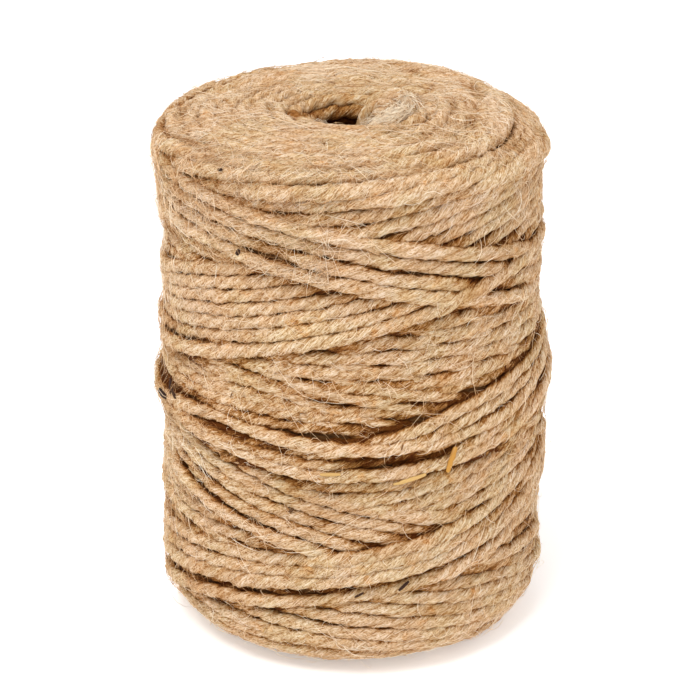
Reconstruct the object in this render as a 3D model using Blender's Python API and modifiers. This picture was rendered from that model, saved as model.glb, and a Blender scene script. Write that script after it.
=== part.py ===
"""A ball of jute twine, machine-wound on a spindle and standing on its end.

The ball is one solid of its wound form, in metres, with +Z up and its origin at the middle of
the flat foot it stands on.  Its outline is a turned profile: a dished hollow where the spindle
was drawn out, a broad crown, a nearly upright side and a rounded foot.  The twine was laid in
bands of slanting turns, each band crossing the ones under it, and the bands are raised on the
turned body as long swells with a ridge along the turn that was laid last.
"""

import math
from collections import namedtuple

import bpy
import numpy as np

# ---------------------------------------------------------------- driving dimensions (metres)
BALL_HEIGHT = 0.1250
TWINE_DIAMETER = 0.0035

# The side swells and narrows a little on its way down, from the shoulder to the foot.
Girth = namedtuple("Girth", "height radius")
SIDE = (
    Girth(0.1185, 0.0448),
    Girth(0.1000, 0.0442),
    Girth(0.0800, 0.0447),
    Girth(0.0600, 0.0459),
    Girth(0.0450, 0.0454),
    Girth(0.0250, 0.0452),
    Girth(0.0100, 0.0450),
)
SHOULDER_RADIUS = SIDE[0].radius
FOOT_RADIUS = SIDE[-1].radius

SHOULDER_REACH = 0.0150      # how far the shoulder's rounding runs in from the side
SHOULDER_DROP = BALL_HEIGHT - SIDE[0].height
FOOT_REACH = 0.0190
FOOT_RISE = SIDE[-1].height
CROWN_RISE = 0.0003          # the crown swells this much above its two rims

MOUTH_RADIUS = 0.0095        # the hollow, just under its rounded lip
LIP_ROUND = 0.0060
HOLLOW_DEPTH = 0.0300
HOLLOW_FLOOR_RADIUS = 0.0066
HOLLOW_FLOOR_ROUND = 0.0030

# ---------------------------------------------------------------- relief of the winding
BAND_SWELL = 0.0011          # each band stands this much above what it crosses
RIDGE_SWELL = 0.0006         # extra height of the turn laid last in a band
RIPPLE_SWELL = 0.0004        # the turns show as ripples, each as wide as RIPPLE_TURNS of them
RIPPLE_TURNS = 2.0
RELIEF_LIMIT = 0.0012        # crossings pack down, so no swell or dip grows past this
BAND_EDGE = 0.0034           # width over which a band's edge rises
RIDGE_REACH = 0.0042         # distance from the last turn's middle at which its ridge ends
FOOT_PLAIN = 0.0027          # below this height the foot stays plain
SHOULDER_PLAIN = 0.0009      # and above this depth under the crown, the shoulder
SIDE_FADE = 0.0090           # height over which the side's relief grows to its full size there
CROWN_SWELL = 0.0005         # height of the crown's ring-shaped swells
CROWN_RINGS = 3
CROWN_SLIP = 0.0020          # how far the crown's rings lie off centre

# ---------------------------------------------------------------- fineness of the mesh
TURN_STEPS = 68
SIDE_ROWS = 50
ARC_ROWS = 5
SMALL_ARC_ROWS = 3
WALL_ROWS = 4
CROWN_ROWS = 5
MERGE_DISTANCE = 0.0001

TWINE_COLOUR = (0.56, 0.36, 0.19, 1.0)
TWINE_ROUGHNESS = 0.95

# One row for each edge of a band of turns: the height of that turn's middle line as it passes
# eight places around the ball.  "first" is the turn laid first, "last" the one laid on top.
Turn = namedtuple("Turn", "back back_left left front_left front front_right right back_right")
Band = namedtuple("Band", "name turns first last")

BANDS = (
    Band("foot", 8.0,
         Turn(0.0300, 0.0370, 0.0405, 0.0385, 0.0335, 0.0275, 0.0235, 0.0250),
         Turn(0.0070, 0.0095, 0.0110, 0.0105, 0.0080, 0.0050, 0.0005, 0.0025)),
    Band("low_side", 4.0,
         Turn(0.0510, 0.0450, 0.0410, 0.0425, 0.0465, 0.0503, 0.0535, 0.0550),
         Turn(0.0400, 0.0350, 0.0320, 0.0330, 0.0375, 0.0410, 0.0435, 0.0440)),
    Band("low_fall", 5.0,
         Turn(0.0445, 0.0530, 0.0565, 0.0526, 0.0458, 0.0405, 0.0370, 0.0380),
         Turn(0.0315, 0.0380, 0.0405, 0.0380, 0.0325, 0.0275, 0.0240, 0.0250)),
    Band("low_rise", 4.0,
         Turn(0.0375, 0.0280, 0.0235, 0.0280, 0.0316, 0.0382, 0.0470, 0.0460),
         Turn(0.0225, 0.0130, 0.0095, 0.0163, 0.0216, 0.0285, 0.0390, 0.0350)),
    Band("middle_fall", 10.0,
         Turn(0.0870, 0.0930, 0.0980, 0.0990, 0.0980, 0.0948, 0.0870, 0.0840),
         Turn(0.0525, 0.0585, 0.0643, 0.0663, 0.0638, 0.0592, 0.0512, 0.0495)),
    Band("waist_rise", 3.0,
         Turn(0.0640, 0.0560, 0.0510, 0.0535, 0.0592, 0.0655, 0.0690, 0.0690),
         Turn(0.0575, 0.0495, 0.0450, 0.0475, 0.0525, 0.0588, 0.0625, 0.0625)),
    Band("middle_rise", 7.0,
         Turn(0.1040, 0.0950, 0.0920, 0.0980, 0.1065, 0.1140, 0.1180, 0.1140),
         Turn(0.0830, 0.0750, 0.0712, 0.0780, 0.0868, 0.0948, 0.0980, 0.0930)),
    Band("top_rise", 6.0,
         Turn(0.1190, 0.1140, 0.1110, 0.1130, 0.1165, 0.1205, 0.1235, 0.1230),
         Turn(0.1010, 0.0950, 0.0930, 0.0945, 0.0970, 0.1025, 0.1065, 0.1060)),
    Band("top_fall", 4.0,
         Turn(0.1020, 0.1100, 0.1155, 0.1138, 0.1086, 0.1012, 0.0950, 0.0950),
         Turn(0.0920, 0.1000, 0.1040, 0.1030, 0.0980, 0.0915, 0.0850, 0.0850)),
    Band("girdle_high", 1.0,
         Turn(0.0640, 0.0610, 0.0608, 0.0613, 0.0600, 0.0606, 0.0650, 0.0660),
         Turn(0.0640, 0.0610, 0.0608, 0.0613, 0.0600, 0.0606, 0.0650, 0.0660)),
    Band("girdle_low", 1.0,
         Turn(0.0600, 0.0600, 0.0590, 0.0564, 0.0528, 0.0568, 0.0615, 0.0620),
         Turn(0.0600, 0.0600, 0.0590, 0.0564, 0.0528, 0.0568, 0.0615, 0.0620)),
)


# ---------------------------------------------------------------- the turned outline
def arc(centre, reach, rise, start, end, rows):
    """Points of an elliptical arc from start to end (degrees), both ends included."""
    points = []
    for row in range(rows + 1):
        angle = math.radians(start + (end - start) * row / rows)
        points.append((centre[0] + reach * math.cos(angle), centre[1] + rise * math.sin(angle)))
    return points


def hollow_points():
    """From the middle of the hollow's floor up its wall, which leans outwards."""
    floor_z = BALL_HEIGHT - HOLLOW_DEPTH
    flat = HOLLOW_FLOOR_RADIUS - HOLLOW_FLOOR_ROUND
    points = [(0.0, floor_z)]
    points += arc((flat, floor_z + HOLLOW_FLOOR_ROUND), HOLLOW_FLOOR_ROUND, HOLLOW_FLOOR_ROUND,
                  -90.0, 0.0, SMALL_ARC_ROWS)
    low = floor_z + HOLLOW_FLOOR_ROUND
    high = BALL_HEIGHT - LIP_ROUND
    for row in range(1, WALL_ROWS):
        share = row / WALL_ROWS
        radius = HOLLOW_FLOOR_RADIUS + (MOUTH_RADIUS - HOLLOW_FLOOR_RADIUS) * share
        points.append((radius, low + (high - low) * share))
    return points


def crown_points():
    """Over the rounded lip of the mouth and across the crown to the shoulder."""
    points = arc((MOUTH_RADIUS + LIP_ROUND, BALL_HEIGHT - LIP_ROUND), LIP_ROUND, LIP_ROUND,
                 180.0, 90.0, SMALL_ARC_ROWS)
    inner = MOUTH_RADIUS + LIP_ROUND
    outer = SHOULDER_RADIUS - SHOULDER_REACH
    for row in range(1, CROWN_ROWS):
        share = row / CROWN_ROWS
        points.append((inner + (outer - inner) * share,
                       BALL_HEIGHT + CROWN_RISE * math.sin(math.pi * share)))
    return points


def side_points():
    """Round the shoulder, down the side, round the foot and in to the middle of the base."""
    shoulder_z = BALL_HEIGHT - SHOULDER_DROP
    points = arc((SHOULDER_RADIUS - SHOULDER_REACH, shoulder_z), SHOULDER_REACH, SHOULDER_DROP,
                 90.0, 0.0, ARC_ROWS)
    rising = SIDE[::-1]
    heights = [girth.height for girth in rising]
    radii = [girth.radius for girth in rising]
    for row in range(1, SIDE_ROWS):
        height = shoulder_z + (FOOT_RISE - shoulder_z) * row / SIDE_ROWS
        points.append((float(np.interp(height, heights, radii)), height))
    points += arc((FOOT_RADIUS - FOOT_REACH, FOOT_RISE), FOOT_REACH, FOOT_RISE,
                  0.0, -90.0, ARC_ROWS)
    points.append((0.0, 0.0))
    return points


def turned_body(name, collection):
    """The plain ball: its outline at +X, turned about Z by a Screw modifier."""
    points = hollow_points() + crown_points() + side_points()
    mesh = bpy.data.meshes.new(name + "_outline")
    edges = [(index, index + 1) for index in range(len(points) - 1)]
    mesh.from_pydata([(radius, 0.0, height) for radius, height in points], edges, [])
    body = bpy.data.objects.new(name + "_turned", mesh)
    collection.objects.link(body)
    screw = body.modifiers.new("turn", "SCREW")
    screw.axis = "Z"
    screw.steps = TURN_STEPS
    screw.render_steps = TURN_STEPS
    screw.use_merge_vertices = True
    screw.merge_threshold = MERGE_DISTANCE
    return body


# ---------------------------------------------------------------- the relief of the winding
def smooth_step(share):
    """0 below 0, 1 above 1, and an S-shaped rise between."""
    share = np.clip(share, 0.0, 1.0)
    return share * share * (3.0 - 2.0 * share)


def turn_height(turn, place):
    """Height of a turn at places counted in eighths of the way round from the back."""
    values = np.array(turn)
    count = len(values)
    station = np.floor(place).astype(int)
    share = place - station
    before, here, after, beyond = [values[(station + step) % count] for step in (-1, 0, 1, 2)]
    slope_here = (after - before) / 2.0
    slope_after = (beyond - here) / 2.0
    rise = smooth_step(share)
    bend_here = share * (1.0 - share) ** 2
    bend_after = share ** 2 * (share - 1.0)
    return here + (after - here) * rise + slope_here * bend_here + slope_after * bend_after


def side_relief(place, height):
    """How far the crossing bands stand out of the side at each point."""
    level = np.zeros_like(height)
    ripple = np.zeros_like(height)
    half = TWINE_DIAMETER / 2.0
    for band in BANDS:
        first = turn_height(band.first, place)
        last = turn_height(band.last, place)
        low = np.minimum(first, last) - half
        high = np.maximum(first, last) + half
        inside = smooth_step((height - low) / BAND_EDGE) * smooth_step((high - height) / BAND_EDGE)
        ridge = smooth_step(1.0 - np.abs(height - last) / RIDGE_REACH)
        level += BAND_SWELL * inside + RIDGE_SWELL * ridge
        turns_up = band.turns * (last - height) / (high - low)
        wave = np.cos(2.0 * math.pi * turns_up / RIPPLE_TURNS)
        ripple += inside * (RIPPLE_SWELL * wave - ripple)
    level = level - level.mean() + ripple
    level = RELIEF_LIMIT * np.tanh(level / RELIEF_LIMIT)
    fade = smooth_step((height - FOOT_PLAIN) / SIDE_FADE)
    fade *= smooth_step((BALL_HEIGHT - SHOULDER_PLAIN - height) / SIDE_FADE)
    return level * fade


def crown_relief(across, along, radius):
    """Ring-shaped swells of the turns that cross the crown, slightly off centre."""
    outer = SHOULDER_RADIUS
    inner = MOUTH_RADIUS + LIP_ROUND / 2.0
    slipped = np.hypot(across - CROWN_SLIP, along + CROWN_SLIP)
    wave = np.sin(2.0 * math.pi * CROWN_RINGS * (slipped - inner) / (outer - inner))
    fade = smooth_step((radius - inner) / LIP_ROUND)
    fade *= smooth_step((outer - radius) / SHOULDER_REACH)
    return CROWN_SWELL * wave * fade


def wound_ball(name, body, collection):
    """Raise the winding's bands in the turned body's own points and centre its footprint."""
    graph = bpy.context.evaluated_depsgraph_get()
    mesh = bpy.data.meshes.new_from_object(body.evaluated_get(graph))
    mesh.name = name
    points = np.empty(len(mesh.vertices) * 3)
    mesh.vertices.foreach_get("co", points)
    points = points.reshape(-1, 3)
    across, along, height = points.T
    radius = np.hypot(across, along)
    place = (np.arctan2(across, -along) / (2.0 * math.pi) + 0.5) * len(Turn._fields)
    on_side = smooth_step((radius - (SHOULDER_RADIUS - SHOULDER_REACH)) / SHOULDER_REACH)
    out = side_relief(place, height) * on_side
    stretch = (radius + out) / np.maximum(radius, MERGE_DISTANCE)
    lift = crown_relief(across, along, radius) * (height > BALL_HEIGHT - SHOULDER_DROP)
    points = np.stack([across * stretch, along * stretch, height + lift], axis=1)
    middle = (points.min(axis=0) + points.max(axis=0)) / 2.0
    points[:, :2] -= middle[:2]
    mesh.vertices.foreach_set("co", points.ravel())
    mesh.update()
    mesh.shade_smooth()
    ball = bpy.data.objects.new(name, mesh)
    collection.objects.link(ball)
    return ball


# ---------------------------------------------------------------- material and assembly
def jute():
    """Undyed jute: a warm straw brown with no shine."""
    material = bpy.data.materials.new("jute")
    material.use_nodes = True
    shader = material.node_tree.nodes["Principled BSDF"]
    shader.inputs["Base Color"].default_value = TWINE_COLOUR
    shader.inputs["Roughness"].default_value = TWINE_ROUGHNESS
    shader.inputs["Metallic"].default_value = 0.0
    return material


def main():
    for old in list(bpy.data.objects):
        bpy.data.objects.remove(old, do_unlink=True)
    collection = bpy.data.collections.new("ball_of_twine")
    bpy.context.scene.collection.children.link(collection)
    body = turned_body("twine_ball", collection)
    ball = wound_ball("twine_ball", body, collection)
    ball.data.materials.append(jute())
    bpy.data.objects.remove(body, do_unlink=True)


main()
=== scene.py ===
"""The looks of a ball of jute twine, machine-wound and standing on its end.

The twine is laid in the order in which a winder lays it.  A chart of heights is kept over the
ball, round it and along its outline.  Each band of slanting turns is laid on that chart, so a
turn rides over what is already there, and the chart then tells which stretches stay in sight.
Those stretches are built as three-ply twine, with loose fibres over them.

Distances are in metres.  "run" is the distance along the ball's outline from the middle of its
base, over the side and the crown, to the floor of the hollow, and it is set so that halfway up
the side it equals the height.  "place" counts eighths of a turn round the ball from its back.
"""

import math
from collections import namedtuple

import bpy
import numpy as np
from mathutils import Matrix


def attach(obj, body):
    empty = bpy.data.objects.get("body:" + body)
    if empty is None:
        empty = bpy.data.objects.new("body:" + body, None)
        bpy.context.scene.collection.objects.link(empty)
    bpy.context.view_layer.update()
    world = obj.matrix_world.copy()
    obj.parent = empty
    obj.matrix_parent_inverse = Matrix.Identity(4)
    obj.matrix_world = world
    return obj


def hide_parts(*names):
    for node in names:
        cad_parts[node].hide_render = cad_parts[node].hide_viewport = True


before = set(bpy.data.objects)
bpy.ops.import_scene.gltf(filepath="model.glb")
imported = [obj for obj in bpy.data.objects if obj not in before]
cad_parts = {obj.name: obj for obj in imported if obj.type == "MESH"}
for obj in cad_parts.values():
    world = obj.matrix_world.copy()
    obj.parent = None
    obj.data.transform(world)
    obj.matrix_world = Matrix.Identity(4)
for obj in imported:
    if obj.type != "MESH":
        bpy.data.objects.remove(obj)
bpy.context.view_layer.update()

# -------- the ball's outline
BALL_HEIGHT = 0.1250
Girth = namedtuple("Girth", "height radius")
SIDE = (
    Girth(0.0100, 0.0450),
    Girth(0.0250, 0.0452),
    Girth(0.0450, 0.0454),
    Girth(0.0600, 0.0459),
    Girth(0.0800, 0.0447),
    Girth(0.1000, 0.0442),
    Girth(0.1185, 0.0448),
)
FOOT_REACH = 0.0190  # how far the foot's rounding runs in from the side
SHOULDER_REACH = 0.0150
CROWN_RISE = 0.0003
MOUTH_RADIUS = 0.0095  # the hollow, just under its rounded lip
LIP_ROUND = 0.0060
HOLLOW_DEPTH = 0.0300
HOLLOW_FLOOR_RADIUS = 0.0066
HOLLOW_FLOOR_ROUND = 0.0030
MIDDLE_HEIGHT = 0.0640  # the height on the side at which run and height are equal
OUTLINE_STEP = 0.00025
OUTLINE_SMOOTHING = 9  # steps over which corners of the outline are rounded
SIDE_POINTS = 60  # points on the side, on each large arc, the lip and the floor's edge
ARC_POINTS = 24
LIP_POINTS = 12
FLOOR_POINTS = 8

# -------- the twine
TWINE_WIDTH = 0.0035
TWINE_THICKNESS = 0.0030  # a strand is pressed a little flat where it lies
TWINE_SPREAD = 1.11  # the plies bulge this far past the strand's even width
TWINE_LAY = 0.0165  # length in which the plies go once round each other
PLIES = 3
PLY_OFFSET = 0.40  # a ply's middle, from the strand's middle, over the ply's radius
RING_SPACING = 0.00100  # distance between rings of a strand's mesh
PLY_ANGLES = (-60.0, -30.0, 0.0, 30.0)  # degrees of points across one ply, from its groove

SEED = 7  # of everything random

# Slow random drifts: over how many steps each swings, and how far.
ROUTE_DRIFTS = ((45, 0.00016), (14, 0.00008))
GIRTH_DRIFTS = ((9, 0.040), (30, 0.040))
LAY_DRIFT = (24, 0.45)
PLY_DRIFT = (7, 0.07)
TONE_DRIFT = (50, 0.30)
MIDDLE_TONE = 0.55
RAGGEDNESS = 0.040  # random share of the radius at each point of a strand
START_SPREAD = 0.9  # eighths of a turn by which a band's start strays

# -------- the chart of heights
STEPS_ROUND = 720
STEP_ROUND = math.tau * SIDE[0].radius / STEPS_ROUND
EIGHTH = STEPS_ROUND / 8.0  # steps in an eighth of a turn
ROW = 0.00035
CODE_STEP = 100  # more than the turns of any band, to number each turn
LEAD = 36  # steps laid ahead, so that a turn runs on evenly into the next
BEARING = 0.6  # share of a strand's width that bears on what lies under it
STIFFNESS = 8.0  # steps over which a strand bridges what lies under it
PEAK_STEPS = (-3, -1, 0, 1, 3)  # and steps about it in which the highest counts by half
SETTLING = 2.0  # steps over which its height is evened once more
SINK = 0.0003  # how far a strand beds into what it lies on
END_DIVE = 0.0040  # how deep a band's two ends go under
END_SLOPE = 0.0120
SWELL_LENGTH = 26  # chart steps over which the ball's swells are evened out
SWELL_HEIGHT = 27
RELIEF_OUT = 0.0008  # the most that a strand stands out
RELIEF_IN = 0.0010  # and lies back
LIFT = 0.0004  # crests lie this far outside the outline on the side
CROWN_LIFT = 0.0002  # and this far on the crown
BASE_LIFT = -0.0004
MARGIN = 0.005  # a strand is built this far past where it goes out of sight
SIGHT_ROWS = 4  # rows of the chart, each way, that a strand is looked for in
SHORTEST = 12  # steps of the shortest stretch that is built

# Means of the chart, in steps round the ball and along the outline.
MEAN_BLUR = (3.0, 1.6)
CREST_BLUR = (2.0, 3.0)
RIM_BLUR = (5.0, 5.0)

# Slopes along the run: where each starts, and over what length it goes from none to full.
FOOT_SLOPE = (-0.006, 0.018)
SHOULDER_SLOPE = (0.126, -0.014)
CROWN_SLOPE = (0.0950, 0.030)
HOLLOW_SLOPE = (0.1545, 0.006)

# Painted shade in the gaps between turns, darker the deeper they lie.
RIM_SHARE = 0.15  # how much of a gap's depth is measured from the wider crests
DEEP_SHADE = 0.24  # share of a gap's depth before pressing that darkens it
DEEPEST = 0.0015  # nothing darkens further past this
MIDDLE_SHADE = 0.26  # and more painted shade in the gaps about the middle of the side
SHADED_MIDDLE = 0.0610
SHADED_MIDDLE_REACH = 0.0120
HOLLOW_SHADE = 0.0022  # painted shade: the hollow's wall is as dark as if it lay this much deeper
CROWN_FILL = 0.35  # share of painted shade taken off the crown's gaps, as matted fibre fills them

# One row for each band of turns, in the order of winding: the run of its first and its last
# turn at eight places round the ball, in tenths of a millimetre.  The last turn of a band is
# the one that lies on top.  A band drawn tight has less girth, so its gaps are open.
TENTHS = 10000.0  # in a metre
Turn = namedtuple("Turn", "back back_left left front_left front front_right right back_right")
Band = namedtuple("Band", "name piece turns first last girth", defaults=(1.0,))


def level(run, tilt=0, towards=0):
    """A turn at one run all round, tilted so that it is highest at the eighth named."""
    return Turn(*(run + tilt * math.cos(math.tau * (eighth - towards) / 8) for eighth in range(8)))


def single(name, piece, *runs):
    """A band of one turn, whose first and last turn are the same."""
    return Band(name, piece, 1, Turn(*runs), Turn(*runs))


BANDS = (
    Band("base", "lower_turns", 8, level(-375), level(-125, 8, 2)),
    Band("under", "under_turns", 39, level(-90), level(1210, 10, 3)),
    Band("well", "crown_turns", 8, level(1840), level(1585, 10, 6)),
    Band("crown_under", "crown_turns", 11, level(1555, 10, 1), level(1205)),
    Band("waist_under", "under_turns", 5, level(730, 10, 1), level(560, 10, 5)),
    Band("foot", "lower_turns", 8, Turn(300, 370, 405, 375, 321, 262, 195, 230),
         Turn(70, 95, 110, 105, 83, 38, -5, 20)),
    Band("heel", "lower_turns", 4, Turn(60, 50, 40, 45, 40, 20, 0, 20),
         Turn(-60, -70, -80, -70, -60, -80, -100, -90)),
    Band("low_side", "lower_turns", 4, Turn(510, 450, 410, 420, 450, 512, 560, 560),
         Turn(400, 350, 320, 325, 362, 420, 455, 450)),
    Band("low_fall", "lower_turns", 5, Turn(445, 540, 590, 534, 445, 378, 350, 370),
         Turn(315, 400, 455, 390, 320, 260, 230, 250)),
    Band("low_rise", "lower_turns", 3, Turn(375, 280, 235, 280, 322, 388, 480, 465),
         Turn(305, 210, 155, 212, 268, 330, 425, 400), 1.05),
    single("low_edge", "lower_turns", 225, 130, 95, 163, 216, 285, 390, 350),
    Band("middle_fall", "middle_turns", 10, Turn(870, 940, 990, 1032, 980, 897, 815, 810),
         Turn(525, 600, 670, 708, 638, 555, 473, 470), 0.81),
    Band("waist_rise", "middle_turns", 4, Turn(645, 610, 600, 605, 606, 688, 730, 720),
         Turn(575, 575, 580, 568, 530, 590, 640, 635), 0.92),
    Band("middle_rise", "middle_turns", 6, Turn(1085, 985, 895, 973, 1060, 1137, 1165, 1150),
         Turn(880, 790, 750, 815, 902, 985, 1020, 970), 0.95),
    Band("crown_over", "crown_turns", 11, level(1555, 8, 1),
         Turn(1262, 1195, 1142, 1204, 1246, 1282, 1312, 1310)),
    Band("top_rise", "upper_turns", 4, Turn(1230, 1162, 1110, 1172, 1213, 1250, 1280, 1278),
         Turn(1120, 1058, 1010, 1070, 1110, 1165, 1190, 1180)),
    Band("top_fall", "upper_turns", 4, Turn(1020, 1100, 1155, 1138, 1086, 1012, 950, 950),
         Turn(920, 1000, 1040, 1030, 980, 905, 845, 850)),
    single("over_rise", "middle_turns", 830, 750, 712, 780, 868, 948, 980, 930),
    single("girdle_high", "middle_turns", 660, 620, 590, 620, 598, 612, 695, 700),
    single("girdle_low", "middle_turns", 600, 600, 590, 564, 528, 562, 630, 625),
)

# Swells and dips of the whole ball: where, how far out, and how wide each way.
Lump = namedtuple("Lump", "angle height rise width reach")
LUMPS = (
    Lump(90.0, 0.0580, 0.0006, 50.0, 0.0080),
    Lump(90.0, 0.0710, -0.0005, 40.0, 0.0030),
    Lump(-90.0, 0.1150, 0.0006, 45.0, 0.0070),
    Lump(-90.0, 0.0300, -0.0004, 50.0, 0.0150),
)

# Crescents of painted shade round the hollow, lowering the patches there: from and to which
# angle, on which run, and how wide.
ShadedArc = namedtuple("ShadedArc", "start end run width")
SHADED_ARCS = (
    ShadedArc(-104.0, -58.0, 0.1528, 0.0011),
    ShadedArc(-176.0, -100.0, 0.1562, 0.0020),
    ShadedArc(102.0, 156.0, 0.1562, 0.0018),
    ShadedArc(86.0, 104.0, 0.1495, 0.0007),
)
ARC_SHADE_DEPTH = 3.6  # how far this painted shade reaches down the scale of patches
ARC_SHADE_FADE = 6.0  # degrees over which their ends fade
PATCH_SIZES = ((5.0, 4.0, 0.80), (16.0, 12.0, 0.40))  # chart steps each way, and strength

# -------- the core under the turns
CORE_COLUMNS = 72
CORE_ROWS = 80
CORE_BLUR = (3.0, 4.0)
CORE_DEPTH = 0.0016
CORE_TOP = 0.0010  # it rises no further than this before it is set in
CORE_INSET = 0.0010  # its first and last rows lie this far from the two middles
CORE_FLOOR = 0.0004

# -------- loose fibres
# Where a coat lies along the run, and round the ball from start to end.  Its fibres stray from
# level by turn and bend by curl, in degrees, keep off patches browner than bare, and are as
# light as pale says.
FibreCoat = namedtuple("FibreCoat", "name low high count length lift thickness turn curl rings"
                                    " bare pale start end", defaults=(-2.0, 0.58, 0.0, 8.0))
SIDE_FUZZ = (0.0024, 0.00016, 0.00008, 50.0, 60.0, 3)
FIBRE_COATS = (
    FibreCoat("side_fuzz_low", -0.0120, 0.0500, 7400, *SIDE_FUZZ),
    FibreCoat("side_fuzz_middle", 0.0500, 0.0740, 1800, *SIDE_FUZZ),
    FibreCoat("side_fuzz_high", 0.0740, 0.1280, 6800, *SIDE_FUZZ),
    FibreCoat("side_strays", -0.0080, 0.1280, 1500, 0.0056, 0.00050, 0.00010, 70.0, 90.0, 5,
              pale=0.82),
    FibreCoat("left_fuzz", 0.0050, 0.1180, 2600, 0.0034, 0.00022, 0.00008, 70.0, 90.0, 3,
              pale=0.62, start=1.5, end=3.0),
    FibreCoat("shoulder_tangle", 0.1000, 0.1300, 1000, 0.0052, 0.00040, 0.00010, 80.0, 120.0, 5,
              pale=0.66, start=2.2, end=3.9),
    FibreCoat("crown_felt", 0.1215, 0.1530, 6400, 0.0034, 0.00022, 0.00009, 50.0, 70.0, 3,
              bare=0.0),
    FibreCoat("crown_strays", 0.1230, 0.1490, 1000, 0.0070, 0.00040, 0.00010, 75.0, 120.0, 5,
              bare=-1.0, pale=0.80),
    FibreCoat("long_hairs", -0.0040, 0.1420, 620, 0.0105, 0.00060, 0.00008, 65.0, 130.0, 7,
              pale=0.72),
)

FIBRE_SIDES = 3
FIBRE_LENGTHS = 0.45  # spread of their lengths, on a logarithmic scale
FIBRE_GIRTHS = (0.7, 1.4)
FIBRE_TIP = 0.12  # the square of the least girth, which is at the tips
FIBRE_ENDS = 0.002  # they keep this far from the middles of the base and the hollow
FIBRE_AXIS = 0.004  # nearer the axis than this, they turn as if they lay here
FIBRE_BED = 0.0001  # they bed this far into the crests
FIBRE_FLOOR = 0.0003
FREE_END = 1.2  # how far one end stands up, over the fibre's lift
FIBRE_PATCH = 0.15  # how strongly a fibre's shade follows the patches
FIBRE_SPREAD = 0.20  # and how much it strays from them
FIBRE_SHADOW = 450.0  # painted shade: a fibre's darkening for each metre between it and a gap
FIBRE_BARE = -2.4  # patches browner than this have no loose fibres
FIBRE_GAP = 0.0009  # fibres dip no further than this between crests, with this spread
FIBRE_GAP_SPREAD = 0.0002

# The twine's inner end comes up in the hollow, leans over its right side and frays out there,
# and two turns inside it lie lower.  Each point is across, towards the back, and up, in tenths
# of a millimetre.
LooseStrand = namedtuple("LooseStrand", "name frayed points")
LOOSE_STRANDS = (
    LooseStrand("loose_end", "frayed_end", (
        (30, 90, 1150), (38, 96, 1212), (66, 92, 1242), (102, 66, 1254), (126, 18, 1258),
        (128, -36, 1254), (110, -85, 1246), (80, -120, 1236))),
    LooseStrand("inner_turn", "frayed_inner", (
        (20, 60, 1140), (32, 75, 1200), (56, 68, 1230), (80, 42, 1243), (96, 0, 1246),
        (94, -50, 1241), (74, -92, 1230), (44, -118, 1215))),
    LooseStrand("lower_turn", "frayed_lower", (
        (40, 58, 1160), (52, 50, 1198), (62, 28, 1224), (68, -6, 1233), (64, -46, 1228),
        (46, -85, 1212), (18, -108, 1192))),
)
LOOSE_STEPS = 80  # steps along one of them before they are made even
LOOSE_OUTWARD = (0.2, -0.6, 1.0)  # the side on which they are seen
LOOSE_TOP = 0.1205  # under this height they get painted shade, by their share of this drop
LOOSE_DROP = 0.007
LOOSE_SUNK = 0.6  # but by no more than this
LOOSE_SHADE = 0.3
LOOSE_PATCH = -1.2

FRAYED_COUNT = 320  # fibres coming off each of them
FRAYED_RINGS = 5
FRAYED_LENGTH = 0.0075
FRAYED_LENGTHS = (0.5, 1.4)
FRAYED_FROM = (0.45, 0.85)  # where along the strand they start
FRAYED_DRIFT = (0.0, -0.2, 0.6)  # the side to which more of them come off
FRAYED_BED = 0.85  # how far out they start, over the strand's own girth
FRAYED_FLARE = 2.6  # and how far they spread
FRAYED_KINK = 0.00020
FRAYED_RADIUS = 0.00006
FRAYED_GIRTHS = (0.7, 1.5)
FRAYED_START = 1.1  # the square of its girth where it starts
FRAYED_SHADE = (0.62, 1.00)

# Bits of straw and bark caught in the twine: where on the side, how long and wide, which way
# each leans from level, and its tone from black bark to golden straw.
Sliver = namedtuple("Sliver", "angle height length width lean tone")
SLIVERS = (
    Sliver(28.6, 0.0552, 0.0064, 0.00160, 73.0, 1.00),
    Sliver(17.0, 0.0520, 0.0064, 0.00115, 12.0, 0.92),
    Sliver(13.5, 0.0512, 0.0032, 0.00080, 6.0, 0.90),
    Sliver(-6.0, 0.0540, 0.0046, 0.00100, 4.0, 0.85),
    Sliver(-71.0, 0.0600, 0.0060, 0.00180, 7.0, 0.03),
    Sliver(-66.0, 0.0630, 0.0048, 0.00130, 86.0, 0.04),
    Sliver(-62.0, 0.0628, 0.0028, 0.00120, -40.0, 0.08),
    Sliver(-34.0, 0.1040, 0.0017, 0.00110, 60.0, 0.05),
    Sliver(-41.0, 0.1215, 0.0013, 0.00075, 10.0, 0.05),
    Sliver(15.0, 0.0245, 0.0032, 0.00085, 42.0, 0.05),
    Sliver(2.0, 0.0230, 0.0024, 0.00065, 30.0, 0.08),
    Sliver(-18.0, 0.0430, 0.0013, 0.00080, 40.0, 0.20),
)
STRAY_SLIVERS = 60
STRAY_RANGES = Sliver((-180.0, 180.0), (0.002, 0.124), (0.0006, 0.0020), (0.0002, 0.0005),
                      (-60.0, 80.0), (0.1, 0.8))
SLIVER_STEPS = (-0.5, -0.45, -0.16, 0.16, 0.45, 0.5)  # along it, and its width at each
SLIVER_WIDTHS = (0.35, 0.75, 1.0, 1.0, 0.75, 0.35)
SLIVER_SIDES = 6
SLIVER_LIFT = 0.0002
SLIVER_BED = 0.12  # share of its width by which it beds in
SLIVER_THICKNESS = 0.40  # over its width

# -------- the camera and the studio
CAMERA_DISTANCE = 0.680
CAMERA_TILT = 23.1  # degrees above the horizon
CAMERA_TARGET = (-0.0005, 0.0, 0.0645)
CAMERA_LENS = 146.8
SENSOR_WIDTH = 36.0

WHITE = (1.0, 1.0, 1.0)
BACKDROP_STRENGTH = 0.83
FLOOR_REACH = 3.0
FLOOR_HEIGHT = -0.0002

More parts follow.
